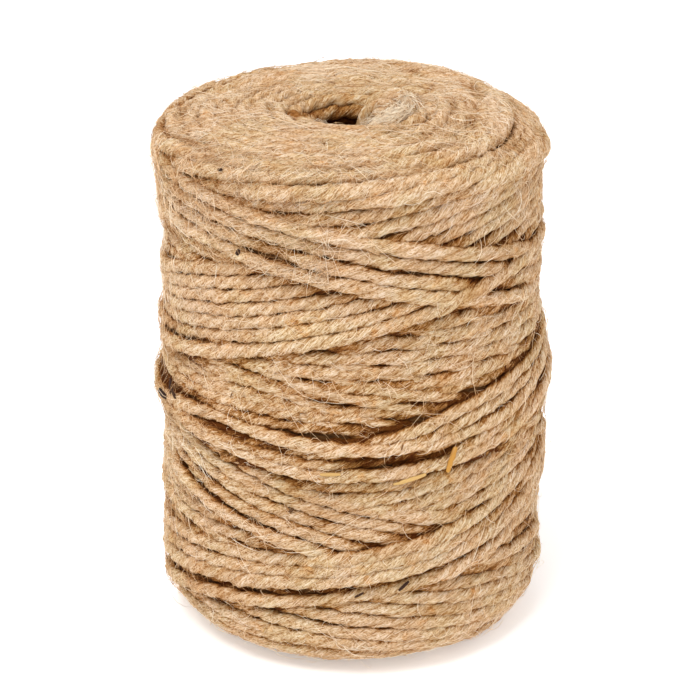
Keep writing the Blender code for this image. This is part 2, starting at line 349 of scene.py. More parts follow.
# A broad key from the upper left front, and a weaker lamp at either side.
Lamp = namedtuple("Lamp", "name place size power colour")
LAMPS = (
    Lamp("key_lamp", (-0.30, -0.45, 1.15), 0.60, 10.3, (1.0, 0.99, 0.98)),
    Lamp("left_lamp", (-1.00, -0.30, 0.40), 0.80, 1.3, (1.0, 0.96, 0.95)),
    Lamp("right_lamp", (1.00, -0.30, 0.40), 0.80, 2.6, (1.0, 0.96, 0.95)),
)


# ======== the outline
def unit(vectors):
    """The vectors, each divided by its own length."""
    return vectors / np.linalg.norm(vectors, axis=-1, keepdims=True)


def between(at, steps, rows):
    """Rows known at these steps, read in between them, column by column."""
    return np.stack([np.interp(at, steps, column) for column in rows.T], -1)


def gone_along(path):
    """The length gone along the path at each of its points."""
    return np.concatenate([[0.0], np.cumsum(np.linalg.norm(np.diff(path, axis=0), axis=1))])


def arc(centre, reach, rise, start, end, count):
    """Points of an elliptical arc: the centre plus reach by cosine and rise by sine."""
    angle = np.radians(np.linspace(start, end, count))
    return np.stack([centre[0] + reach * np.cos(angle), centre[1] + rise * np.sin(angle)], 1)


def ball_outline():
    """The outline from the base's middle to the hollow's floor at even steps of run.

    Arcs for the foot, shoulder, lip and hollow are joined by the side's table of girths.  The
    outward direction at each step is the outline's own direction turned by a right angle.
    """
    foot, top = SIDE[0], SIDE[-1]
    side_z = np.linspace(foot.height, top.height, SIDE_POINTS)[1:-1]
    side_r = np.interp(side_z, [g.height for g in SIDE], [g.radius for g in SIDE])
    lip = (MOUTH_RADIUS + LIP_ROUND, BALL_HEIGHT - LIP_ROUND)
    floor_z = BALL_HEIGHT - HOLLOW_DEPTH
    floor = (HOLLOW_FLOOR_RADIUS - HOLLOW_FLOOR_ROUND, floor_z + HOLLOW_FLOOR_ROUND)
    corners = np.concatenate([
        [(0.0, 0.0)],
        arc((foot.radius - FOOT_REACH, foot.height), FOOT_REACH, foot.height, -90.0, 0.0,
            ARC_POINTS),
        np.stack([side_r, side_z], 1),
        arc((top.radius - SHOULDER_REACH, top.height), SHOULDER_REACH,
            BALL_HEIGHT - top.height, 0.0, 90.0, ARC_POINTS),
        [(lip[0] + LIP_ROUND, BALL_HEIGHT + CROWN_RISE)],
        arc(lip, LIP_ROUND, LIP_ROUND, 90.0, 180.0, LIP_POINTS),
        arc(floor, HOLLOW_FLOOR_ROUND, HOLLOW_FLOOR_ROUND, 0.0, -90.0, FLOOR_POINTS),
        [(0.0, floor_z)],
    ])
    gone = gone_along(corners)
    run = np.arange(0.0, gone[-1], OUTLINE_STEP)
    points = between(run, gone, corners)
    middle = np.argmin(np.abs(points[:, 1] - MIDDLE_HEIGHT) + (points[:, 0] < FOOT_REACH))
    run = run - run[middle] + points[middle, 1]
    kernel = np.ones(OUTLINE_SMOOTHING) / OUTLINE_SMOOTHING
    padded = np.pad(points, ((OUTLINE_SMOOTHING // 2,) * 2, (0, 0)), mode="edge")
    smooth = np.stack([np.convolve(padded[:, axis], kernel, "valid") for axis in (0, 1)], 1)
    heading = unit(np.gradient(smooth, axis=0))
    return run, points, np.stack([heading[:, 1], -heading[:, 0]], 1)


RUN, OUTLINE, OUTWARD = ball_outline()


def outline_at(run):
    """The outline's point and its outward direction at each run, between its even steps."""
    return between(run, RUN, OUTLINE), unit(between(run, RUN, OUTWARD))


def turned(flat, place):
    """The outline's points or directions, turned about the ball's axis to their places."""
    angle = (place / 8.0 - 0.5) * math.tau
    out, up = flat[..., 0], flat[..., 1]
    return np.stack([out * np.sin(angle), -out * np.cos(angle), up], -1)


def on_ball(place, run, rise):
    """Points in space: the outline's point, moved out by rise and turned to its place."""
    point, outward = outline_at(run)
    return turned(point + outward * rise[..., None], place)


def outward_on_ball(place, run):
    """The outward direction in space at each place and run."""
    return turned(outline_at(run)[1], place)


# ======== helpers for routes
def degrees(place):
    """The angle round the ball from its front, towards its right."""
    return (place / 8.0 - 0.5) * 360.0


def eased(value, start, reach):
    """Nought before start, one from start plus reach on, and an even slope between."""
    return np.clip((value - start) / reach, 0.0, 1.0)


def turn_run(turn, place):
    """A turn's run at each place: a smooth curve through its eight values, closed on itself."""
    values = np.array(turn) / TENTHS
    step = np.floor(place).astype(int)
    part = place - step
    before, here, after, beyond = (values[(step + k) % 8] for k in (-1, 0, 1, 2))
    slope_here, slope_after = (after - before) / 2.0, (beyond - here) / 2.0
    return (here + (after - here) * part * part * (3.0 - 2.0 * part)
            + slope_here * part * (1.0 - part) ** 2 + slope_after * part * part * (part - 1.0))


def wander(count, wavelength, amount, rng):
    """A slow random drift: random knots joined by smooth steps."""
    knots = rng.normal(0.0, amount, int(count / wavelength) + 4)
    along = np.linspace(0.0, len(knots) - 3.001, count)
    step = along.astype(int)
    part = along - step
    part = part * part * (3.0 - 2.0 * part)
    return knots[step] * (1.0 - part) + knots[step + 1] * part


def smoothed(values, width):
    """A row of values under a bell-shaped running mean."""
    reach = int(3 * width) + 1
    bell = np.exp(-np.arange(-reach, reach + 1) ** 2 / (2.0 * width * width))
    return np.convolve(np.pad(values, reach, mode="edge"), bell / bell.sum(), "valid")


def blurred(chart, around, along):
    """The chart under a bell-shaped mean, round the ball and along the outline."""
    pad = int(3 * along)
    wide = np.pad(chart, ((0, 0), (pad, pad)), mode="edge")
    waves = np.fft.rfft2(wide)
    waves *= np.exp(-2.0 * (math.pi * around * np.fft.fftfreq(wide.shape[0])) ** 2)[:, None]
    waves *= np.exp(-2.0 * (math.pi * along * np.fft.rfftfreq(wide.shape[1])) ** 2)[None, :]
    return np.fft.irfft2(waves, wide.shape)[:, pad:-pad]


# ======== laying the bands
Strand = namedtuple("Strand", "piece place run rise code girth")


def band_route(band, rng):
    """A band's one strand: its run goes evenly from the first turn's to the last one's, with
    two slow drifts added."""
    count = band.turns * STEPS_ROUND
    start = rng.uniform(-START_SPREAD, START_SPREAD)
    step = np.arange(count)
    place = step / EIGHTH + start
    share = (step / STEPS_ROUND - 0.5) / max(band.turns - 1, 1)
    run = (1.0 - share) * turn_run(band.first, place) + share * turn_run(band.last, place)
    return place, sum((wander(count, *drift, rng) for drift in ROUTE_DRIFTS), run)


def lay_bands(rng):
    """Lays every band on the chart of heights, one turn at a time.

    A strand's hump is half an ellipse, half a thickness high and as wide as the band's girth
    makes it.  Its middle lies where the hump's underside meets the chart below it, evened out
    along the strand and bedded in by SINK.  Its own top is then marked on the chart, and the
    turn's number beside it, where it stands above what was there.
    """
    rows = int((RUN[-1] - RUN[0]) / ROW) + 2
    chart = np.zeros((STEPS_ROUND, rows))
    owner = np.full((STEPS_ROUND, rows), -1)
    half_height = TWINE_THICKNESS / 2.0
    reach = int(TWINE_WIDTH / 2.0 / ROW) + 1
    across = np.arange(-reach, reach + 1)
    strands = []
    for number, band in enumerate(BANDS):
        place, run = band_route(band, rng)
        half_width = TWINE_WIDTH / 2.0 * band.girth
        count = len(run)
        column = np.round(place * EIGHTH).astype(int) % STEPS_ROUND
        row = np.clip(np.round((run - RUN[0]) / ROW).astype(int)[:, None] + across, 0, rows - 1)
        off = row * ROW + RUN[0] - run[:, None]
        hump = half_height * np.sqrt(np.clip(1.0 - (off / half_width) ** 2, 0.0, 1.0))
        step = np.arange(count)
        to_end = np.minimum(step, count - 1 - step) * STEP_ROUND
        dive = END_DIVE * (1.0 - eased(to_end, 0.0, END_SLOPE)) ** 2
        code = number * CODE_STEP + step // STEPS_ROUND
        rise = np.zeros(count)
        for begin in range(0, count, STEPS_ROUND):
            ahead = slice(begin, min(begin + STEPS_ROUND + LEAD, count))
            held = chart[column[ahead, None], row[ahead]] + hump[ahead]
            held = np.where(np.abs(off[ahead]) < BEARING * half_width, held, 0.0).max(1)
            held = np.concatenate([rise[max(begin - LEAD, 0):begin], held])
            peaks = np.max([np.roll(held, k) for k in PEAK_STEPS], axis=0)
            even = smoothed(0.5 * (peaks + held), STIFFNESS) - SINK
            here = slice(begin, begin + STEPS_ROUND)
            skip = min(begin, LEAD)
            rise[here] = even[skip:skip + STEPS_ROUND] - dive[here]
            top = rise[here, None] + hump[here]
            cells = (np.broadcast_to(column[here, None], top.shape), row[here])
            wins = (hump[here] > 0.0) & (top > chart[cells])
            won = (cells[0][wins], cells[1][wins])
            chart[won] = top[wins]
            owner[won] = np.broadcast_to(code[here, None], top.shape)[wins]
        strands.append(Strand(band.piece, place, run, rise, code, band.girth))
    return chart, owner, strands


def crest_chart(chart):
    """The height of the nearest crest: the highest value within half a strand's width."""
    reach = int(TWINE_WIDTH / 2.0 / ROW)
    padded = np.pad(chart, ((0, 0), (reach, reach)), mode="edge")
    rows = chart.shape[1]
    return np.max([padded[:, k:k + rows] for k in range(2 * reach + 1)], axis=0)


def pressed(height):
    """Relief pressed down as a winder's tension does it: a soft limit each way."""
    limit = np.where(height > 0.0, RELIEF_OUT, RELIEF_IN)
    return limit * np.tanh(height / limit)


def ball_swell(place, run):
    """The lift of the side, sloping to the crown's and the base's, and bell-shaped lumps."""
    end_lift = np.where(run > MIDDLE_HEIGHT, CROWN_LIFT, BASE_LIFT)
    on_side = eased(run, *FOOT_SLOPE) * eased(run, *SHOULDER_SLOPE)
    swell = end_lift + (LIFT - end_lift) * on_side
    for lump in LUMPS:
        off = (degrees(place) - lump.angle + 180.0) % 360.0 - 180.0
        swell = swell + lump.rise * np.exp(-(off / lump.width) ** 2
                                           - ((run - lump.height) / lump.reach) ** 2)
    return swell


def patch_chart(place, run, rng):
    """How pale the jute is over the ball: blurred noise at two sizes, less the painted shade arcs.
    """
    patch = 0.0
    for around, along, strength in PATCH_SIZES:
        noise = blurred(rng.normal(size=np.broadcast(place, run).shape), around, along)
        patch = patch + strength * noise / noise.std()
    for shaded_arc in SHADED_ARCS:
        off = np.abs(degrees(place) - (shaded_arc.start + shaded_arc.end) / 2.0)
        inside = (shaded_arc.end - shaded_arc.start) / 2.0 - np.minimum(off, 360.0 - off)
        window = eased(inside, 0.0, ARC_SHADE_FADE)
        patch = patch - ARC_SHADE_DEPTH * window * np.exp(-((run - shaded_arc.run) / shaded_arc.width) ** 2)
    return patch


class Winding:
    """The laid bands, with heights measured from the ball's outline."""

    def __init__(self, rng):
        raw, self.owner, self.strands = lay_bands(rng)
        self.ground = blurred(crest_chart(raw), SWELL_LENGTH, SWELL_HEIGHT)
        self.raw_mean = blurred(raw, *MEAN_BLUR)
        place = np.arange(STEPS_ROUND)[:, None] / EIGHTH
        run = RUN[0] + np.arange(raw.shape[1])[None, :] * ROW
        self.chart = pressed(raw - self.ground) + ball_swell(place, run)
        self.crest = blurred(crest_chart(self.chart), *CREST_BLUR)
        self.rim = blurred(crest_chart(crest_chart(self.chart)), *RIM_BLUR)
        self.patch = patch_chart(place, run, rng)

    def cell(self, place, run):
        """The chart's column and row at each place and run."""
        column = np.round(place * EIGHTH).astype(int) % STEPS_ROUND
        row = np.round((run - RUN[0]) / ROW).astype(int)
        return column, np.clip(row, 0, self.chart.shape[1] - 1)

    def settled(self, strand):
        """The height of the strand's middle after the ball's swells are evened out."""
        half = TWINE_THICKNESS / 2.0
        cell = self.cell(strand.place, strand.run)
        top = pressed(strand.rise + half - self.ground[cell])
        return smoothed(top + ball_swell(strand.place, strand.run) - half, SETTLING)

    def in_sight(self, strand):
        """True where the strand is on top in two of the rows about it, and MARGIN beyond."""
        column, row = self.cell(strand.place, strand.run)
        across = np.arange(-SIGHT_ROWS, SIGHT_ROWS + 1)
        near = np.clip(row[:, None] + across, 0, self.chart.shape[1] - 1)
        seen = (self.owner[column[:, None], near] == strand.code[:, None]).sum(1) > 1
        reach = int(MARGIN / STEP_ROUND)
        return np.convolve(seen, np.ones(2 * reach + 1), "same") > 0


# ======== meshes
def tube_mesh(name, groups):
    """One mesh of closed tubes.

    Each group is an array of tubes by rings by points round the ring by three coordinates.
    Neighbouring rings are joined by four-sided faces, and each end is a fan to its middle.
    """
    points, quads, fans = [], [], []
    base = 0
    for group in groups:
        tubes, rings, sides = group.shape[:3]
        ends = np.stack([group[:, 0].mean(1), group[:, -1].mean(1)], 1)
        block = np.concatenate([group.reshape(tubes, rings * sides, 3), ends], 1)
        first = base + np.arange(tubes) * (rings * sides + 2)
        ring = np.arange(rings - 1)[:, None] * sides
        side = np.arange(sides)[None, :]
        after = (side + 1) % sides
        quad = np.stack([ring + side, ring + sides + side, ring + sides + after, ring + after], -1)
        quads.append((first[:, None, None, None] + quad).reshape(-1, 4))
        near = np.stack([np.full(sides, rings * sides), side[0], after[0]], -1)
        last = (rings - 1) * sides
        far = np.stack([np.full(sides, rings * sides + 1), last + after[0], last + side[0]], -1)
        fans.append((first[:, None, None] + np.concatenate([near, far])).reshape(-1, 3))
        points.append(block.reshape(-1, 3))
        base += tubes * (rings * sides + 2)
    return faced_mesh(name, np.concatenate(points), np.concatenate(quads), np.concatenate(fans))


def faced_mesh(name, points, quads, triangles):
    """A mesh from arrays of points, of four-sided and of three-sided faces."""
    mesh = bpy.data.meshes.new(name)
    mesh.vertices.add(len(points))
    mesh.vertices.foreach_set("co", points.astype(np.float32).ravel())
    corners = np.concatenate([quads.ravel(), triangles.ravel()])
    mesh.loops.add(len(corners))
    mesh.loops.foreach_set("vertex_index", corners.astype(np.int32))
    mesh.polygons.add(len(quads) + len(triangles))
    starts = np.concatenate([np.arange(len(quads)) * 4,
                             quads.size + np.arange(len(triangles)) * 3])
    mesh.polygons.foreach_set("loop_start", starts.astype(np.int32))
    mesh.update(calc_edges=True)
    mesh.shade_smooth()
    return mesh


def placed(name, data):
    """An object of this mesh, lamp or camera, put in the scene."""
    thing = bpy.data.objects.new(name, data)
    bpy.context.scene.collection.objects.link(thing)
    return thing


def add_piece(mesh, material, replaces_ball=False, **values):
    """Puts the mesh in the scene as a piece that rides with the ball.

    Each value, or vector, is stored at the mesh's points under its name, for the material.
    """
    for name, each in values.items():
        kind, field = ("FLOAT_VECTOR", "vector") if each.ndim == 2 else ("FLOAT", "value")
        layer = mesh.attributes.new(name, kind, "POINT")
        layer.data.foreach_set(field, each.astype(np.float32).ravel())
    mesh.materials.append(material)
    piece = placed(mesh.name, mesh)
    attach(piece, "root")
    if replaces_ball:
        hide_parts("twine_ball")


# ======== three-ply twine
def ply_section():
    """Angles and radii round a strand of three plies, each a circle off the middle."""
    across = np.radians(PLY_ANGLES)
    radius = (PLY_OFFSET * np.cos(across)
              + np.sqrt(1.0 - (PLY_OFFSET * np.sin(across)) ** 2)) / (PLY_OFFSET + 1.0)
    ply = np.repeat(np.arange(PLIES), len(across))
    return np.tile(across, PLIES) + ply * math.tau / PLIES, np.tile(radius, PLIES), ply


SECTION_ANGLE, SECTION_RADIUS, SECTION_PLY = ply_section()
GROOVE_RADIUS = SECTION_RADIUS.min()


def twine_rings(path, outward, girth, rng):
    """Rings of a strand: the three-ply section carried along the path, turning with the lay.

    The section is wider along the surface than out from it.  The strand's girth, each ply's
    size and the lay all drift a little along its length.  Also returns, at each point, the
    fibre coordinates, which follow the plies, and how near a ply's crest the point lies.
    """
    count = len(path)
    along = gone_along(path)
    heading = unit(np.gradient(path, axis=0))
    up = unit(outward - (outward * heading).sum(1, keepdims=True) * heading)
    side = np.cross(heading, up)
    turn = (rng.uniform(0.0, math.tau) + math.tau * along / TWINE_LAY
            + wander(count, *LAY_DRIFT, rng))
    girth = girth * sum((wander(count, *drift, rng) for drift in GIRTH_DRIFTS), 1.0)
    plies = 1.0 + np.stack([wander(count, *PLY_DRIFT, rng) for _ in range(PLIES)], 1)
    radius = SECTION_RADIUS * girth[:, None] * plies[:, SECTION_PLY] * TWINE_SPREAD
    radius = radius * (1.0 + rng.normal(0.0, RAGGEDNESS, radius.shape))
    angle = turn[:, None] + SECTION_ANGLE
    wide = radius * np.cos(angle) * TWINE_WIDTH / 2.0
    high = radius * np.sin(angle) * TWINE_THICKNESS / 2.0
    rings = path[:, None] + side[:, None] * wide[..., None] + up[:, None] * high[..., None]
    start = rng.uniform(0.0, 10.0)
    fibre = np.stack(np.broadcast_arrays(
        SECTION_RADIUS * np.cos(SECTION_ANGLE) * TWINE_WIDTH / 2.0,
        SECTION_RADIUS * np.sin(SECTION_ANGLE) * TWINE_WIDTH / 2.0,
        start + along[:, None]), -1)
    crest = (SECTION_RADIUS - GROOVE_RADIUS) / (1.0 - GROOVE_RADIUS)
    return rings, fibre, np.broadcast_to(crest, angle.shape), high


def even_steps(path, *others):
    """The path, and what goes with it, at even spacing along its length."""
    gone = gone_along(path)
    at = np.linspace(0.0, gone[-1], max(int(gone[-1] / RING_SPACING), 4))
    return [between(at, gone, value.reshape(len(gone), -1)).squeeze()
            for value in (path, *others)]


def stretches(seen):
    """The first and one-past-last step of each stretch in sight."""
    edges = np.flatnonzero(np.diff(np.concatenate([[0], seen.astype(int), [0]])))
    return edges.reshape(-1, 2)


def with_ends(rings, **named):
    """Each named value at every point of a tube's rings, and then at the middles of its ends."""
    count, sides = rings.shape[:2]
    grown = {}
    for name, values in named.items():
        flat = values.reshape(count * sides, -1)
        ends = np.stack([flat[:sides].mean(0), flat[-sides:].mean(0)])
        grown[name] = np.concatenate([flat, ends]).squeeze()
    return grown


def painted_gap_shade(winding, cell, run, height, laid, high):
    """How deep each point of a strand's rings lies among the turns, for the shade there.

    It is the depth under the near and the wider crests, plus a share of the depth before
    pressing, which is less on the crown and more about the middle of the side.  The painted
    shade is lessened in the crown's gaps, which matted fibre partly fills, and deepened on the
    hollow's wall, which counts as deeper.
    """
    run = run[:, None]
    crest = (1.0 - RIM_SHARE) * winding.crest[cell] + RIM_SHARE * winding.rim[cell]
    sunk = crest[:, None] - (height[:, None] + high)
    under = winding.raw_mean[cell][:, None] - (laid[:, None] + high)
    on_crown = eased(run, *CROWN_SLOPE)
    deep = DEEP_SHADE * (1.0 - on_crown)
    deep = deep + MIDDLE_SHADE * np.exp(-((run - SHADED_MIDDLE) / SHADED_MIDDLE_REACH) ** 2)
    sunk = sunk + deep * np.clip(under, 0.0, DEEPEST)
    sunk = sunk * (1.0 - CROWN_FILL * on_crown)
    return sunk + HOLLOW_SHADE * eased(run, *HOLLOW_SLOPE)


def wound_pieces(winding, material, rng):
    """The turns in sight, gathered into one piece for each part of the ball."""
    gathered = {}
    for strand in winding.strands:
        rise = winding.settled(strand)
        tone = MIDDLE_TONE + wander(len(rise), *TONE_DRIFT, rng)
        for begin, end in stretches(winding.in_sight(strand)):
            if end - begin < SHORTEST:
                continue
            part = slice(begin, end)
            place, run = strand.place[part], strand.run[part]
            path, outward, place, run, height, laid, shade = even_steps(
                on_ball(place, run, rise[part]), outward_on_ball(place, run), place, run,
                rise[part], strand.rise[part], tone[part])
            rings, fibre, crest, high = twine_rings(path, outward, strand.girth, rng)
            cell = winding.cell(place, run)
            # each point's depth among the turns, which sets the painted shade in the gaps
            values = with_ends(
                rings, fibre=fibre, ply_crest=crest,
                sunk=painted_gap_shade(winding, cell, run, height, laid, high),
                shade=np.broadcast_to(np.clip(shade, 0.0, 1.0)[:, None], high.shape),
                patch=np.broadcast_to(winding.patch[cell][:, None], high.shape))
            values["sunk"] /= TWINE_THICKNESS
            rings[..., 2] = np.maximum(rings[..., 2], 0.0)
            gathered.setdefault(strand.piece, []).append((rings[None], values))
    for name, tubes in gathered.items():
        groups, values = zip(*tubes)
        joined = {key: np.concatenate([part[key] for part in values]) for key in values[0]}
        add_piece(tube_mesh(name, groups), material, replaces_ball=True, **joined)


def smooth_route(points):
    """A smooth curve through all the points, at even steps along its length."""
    knots = np.array(points) / TENTHS
    padded = np.concatenate([[2.0 * knots[0] - knots[1]], knots, [2.0 * knots[-1] - knots[-2]]])
    at = np.linspace(0.0, len(knots) - 1.001, LOOSE_STEPS)
    step = at.astype(int)
    part = (at - step)[:, None]
    before, here, after, beyond = (padded[step + k] for k in range(4))
    path = here + 0.5 * part * (after - before + part * (
        2.0 * before - 5.0 * here + 4.0 * after - beyond
        + part * (3.0 * (here - after) + beyond - before)))
    return even_steps(path)[0]


def loose_strand(strand, material, rng):
    """One strand in the hollow, along a smooth curve through its points."""
    path = smooth_route(strand.points)
    outward = np.broadcast_to(LOOSE_OUTWARD, path.shape)
    rings, fibre, crest, high = twine_rings(path, outward, 1.0, rng)
    # painted shade: the lower a point lies in the hollow, the darker
    values = with_ends(
        rings, fibre=fibre, ply_crest=crest,
        sunk=np.clip((LOOSE_TOP - rings[..., 2]) / LOOSE_DROP, 0.0, LOOSE_SUNK),
        shade=np.full(high.shape, LOOSE_SHADE), patch=np.full(high.shape, LOOSE_PATCH))
    add_piece(tube_mesh(strand.name, [rings[None]]), material, replaces_ball=True, **values)


# ======== the core under the turns
def wound_core(winding, material):
    """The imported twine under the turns: the evened chart, set in by CORE_DEPTH.

    A grid of place by run, closed on itself round the ball and at the middle of both ends.
    """
    place = np.arange(CORE_COLUMNS)[:, None] * 8.0 / CORE_COLUMNS
    run = np.linspace(RUN[0] + CORE_INSET, RUN[-1] - CORE_INSET, CORE_ROWS)[None, :]
    place, run = np.broadcast_arrays(place, run)
    evened = blurred(winding.chart, *CORE_BLUR)[winding.cell(place, run)]
    grid = on_ball(place, run, np.minimum(evened, CORE_TOP) - CORE_DEPTH)
    grid[..., 2] = np.maximum(grid[..., 2], CORE_FLOOR)
    column = np.arange(CORE_COLUMNS)[:, None] * CORE_ROWS
    after = (np.arange(CORE_COLUMNS)[:, None] + 1) % CORE_COLUMNS * CORE_ROWS
    row = np.arange(CORE_ROWS - 1)[None, :]
    quads = np.stack([column + row, after + row, after + row + 1, column + row + 1], -1)
    bottom, top = CORE_COLUMNS * CORE_ROWS, CORE_COLUMNS * CORE_ROWS + 1
    low = np.concatenate([np.full_like(column, bottom), after, column], 1)
    high = np.concatenate([np.full_like(column, top), column + CORE_ROWS - 1,
                           after + CORE_ROWS - 1], 1)
    middles = np.array([(0.0, 0.0, grid[:, 0, 2].mean()), (0.0, 0.0, grid[:, -1, 2].mean())])
    points = np.concatenate([grid.reshape(-1, 3), middles])
    mesh = faced_mesh("wound_core", points, quads.reshape(-1, 4), np.concatenate([low, high]))
    add_piece(mesh, material, replaces_ball=True)


# ======== loose fibres
def spun_rings(path, up, wide, high, sides=FIBRE_SIDES):
    """Rings of thin tubes along many paths at once: an ellipse across each point's heading."""
    heading = unit(np.gradient(path, axis=1))
    side = unit(np.cross(heading, up))
    up = np.cross(side, heading)
    corner = math.tau * (0.25 + np.arange(sides) / sides)
    wide = np.broadcast_to(wide, path.shape[:2])[..., None] * np.cos(corner)
    high = np.broadcast_to(high, path.shape[:2])[..., None] * np.sin(corner)
    return path[:, :, None] + wide[..., None] * side[:, :, None] + high[..., None] * up[:, :, None]


def fibre_coat(coat, winding, material, rng):
    """Fine fibres lying over the crests of the turns.

    Each fibre starts at a random spot and goes along the surface on a heading that curls
    steadily.  It lies on the crests, arches off them as a parabola by a random lift, and often
    has one end standing up.  It thins out to its tips as a fourth power does.  Fibres that
    would cross the brownest or most shaded patches, or wide gaps, are left off, and those
    that lie over a gap get painted shade there.
    """
    one_each = (coat.count, 1)
    off = np.linspace(-1.0, 1.0, coat.rings)[None, :]
    length = coat.length * rng.lognormal(0.0, FIBRE_LENGTHS, one_each)
    side = np.where(rng.uniform(size=one_each) < 0.5, 0.0, math.pi)
    heading = side + np.radians(rng.normal(0.0, coat.turn, one_each))
    curl = np.radians(rng.normal(0.0, coat.curl, one_each))
    place = rng.uniform(coat.start, coat.end, one_each)
    run = rng.uniform(coat.low, coat.high, one_each)
    angle = heading + curl * off / 2.0
    radius = np.maximum(outline_at(run)[0][..., 0], FIBRE_AXIS)
    part = length / (coat.rings - 1)
    east = np.cumsum(np.cos(angle) * part, axis=1)
    north = np.cumsum(np.sin(angle) * part, axis=1)
    place = place + (east - east.mean(1, keepdims=True)) / radius * 8.0 / math.tau
    run = run + north - north.mean(1, keepdims=True)
    run = np.clip(run, RUN[0] + FIBRE_ENDS, RUN[-1] - FIBRE_ENDS)
    cell = winding.cell(place, run)
    lift = coat.lift * rng.exponential(1.0, one_each)
    lean = rng.uniform(-1.0, 1.0, one_each)
    arch = 1.0 - off ** 2 + FREE_END * np.abs(lean) * (off * lean > 0) * off ** 2
    path = on_ball(place, run, winding.crest[cell] + lift * arch - FIBRE_BED)
    path[..., 2] = np.maximum(path[..., 2], FIBRE_FLOOR)
    taper = np.sqrt(np.clip(1.0 - off ** 4, FIBRE_TIP, 1.0))
    radius = coat.thickness / 2.0 * rng.uniform(*FIBRE_GIRTHS, one_each) * taper
    pale = winding.patch[cell].min(1)
    gap = (winding.rim[cell] - winding.crest[cell]).max(1)
    strewn = rng.normal(0.0, 1.0, coat.count)
    kept = (pale > FIBRE_BARE) & (pale + strewn > coat.bare)
    kept = kept & (gap < FIBRE_GAP + FIBRE_GAP_SPREAD * strewn)
    rings = spun_rings(path, outward_on_ball(place, run), radius, radius)[kept]
    shade = coat.pale + FIBRE_PATCH * pale[kept] + rng.normal(0.0, FIBRE_SPREAD, len(rings))
    # painted shade where a fibre lies over a gap
    below = np.clip(winding.crest[cell] - winding.chart[cell], 0.0, DEEPEST)[kept]
    shade = np.clip(shade[:, None] - FIBRE_SHADOW * below, 0.0, 1.0)
    shade = np.concatenate([np.repeat(shade, FIBRE_SIDES, axis=1), shade[:, [0, -1]]], 1)
    add_piece(tube_mesh(coat.name, [rings]), material, shade=shade.ravel())


def frayed_fibres(strand, material, rng):
    """Fibres coming off a loose strand.

    Each starts on its surface and goes on along it, while its distance from the strand's
    middle grows evenly with its own length.  It thins out to its tip as a fourth power does.
    """
    route = smooth_route(strand.points)
    one_each = (FRAYED_COUNT, 1)
    step = np.linspace(0.0, 1.0, FRAYED_RINGS)[None, :]
    steps_long = FRAYED_LENGTH / RING_SPACING * rng.uniform(*FRAYED_LENGTHS, one_each)
    start = rng.uniform(*FRAYED_FROM, one_each) * len(route)
    at = np.clip(start + steps_long * step, 0.0, len(route) - 1.0)
    path = between(at, np.arange(len(route)), route)
    away = unit(rng.normal(0.0, 1.0, (*one_each, 3)) + FRAYED_DRIFT)
    flare = FRAYED_BED + FRAYED_FLARE * rng.uniform(0.0, 1.0, one_each) * step
    path = path + away * flare[..., None] * TWINE_THICKNESS / 2.0
    path = path + rng.normal(0.0, FRAYED_KINK, path.shape)
    taper = np.sqrt(FRAYED_START - step ** 4)
    radius = FRAYED_RADIUS * rng.uniform(*FRAYED_GIRTHS, one_each) * taper
    rings = spun_rings(path, np.broadcast_to(away, path.shape), radius, radius)
    shade = np.repeat(rng.uniform(*FRAYED_SHADE, FRAYED_COUNT), FRAYED_RINGS * FIBRE_SIDES + 2)
    add_piece(tube_mesh(strand.frayed, [rings]), material, shade=shade)


def slivers(winding, material, rng):
    """Bits of straw and bark: flat slips lying on the turns, each drawn in at its two ends.

    Each lies straight: its run goes by the sine of its lean and its place by the cosine.
    """
    stray = [rng.uniform(*bounds, STRAY_SLIVERS) for bounds in STRAY_RANGES]
    every = np.concatenate([np.array(SLIVERS).T, stray], 1)
    angle, height, length, width, lean, tone = every[..., None]
    step = np.array([SLIVER_STEPS])
    lean = np.radians(lean)
    run = height + step * length * np.sin(lean)
    radius = outline_at(height)[0][..., 0]
    place = (angle / 360.0 + 0.5) * 8.0 + step * length * np.cos(lean) / radius * 8.0 / math.tau
    crest = winding.crest[winding.cell(place, run)].mean(1, keepdims=True)
    rise = crest + SLIVER_LIFT - width * SLIVER_BED
    path = on_ball(place, run, np.broadcast_to(rise, run.shape))
    wide = width / 2.0 * np.array([SLIVER_WIDTHS])
    rings = spun_rings(path, outward_on_ball(place, run), wide, wide * SLIVER_THICKNESS,
                       SLIVER_SIDES)
    tone = np.repeat(tone[:, 0], len(SLIVER_STEPS) * SLIVER_SIDES + 2)
    add_piece(tube_mesh("straw_and_bark", [rings]), material, tone=tone)


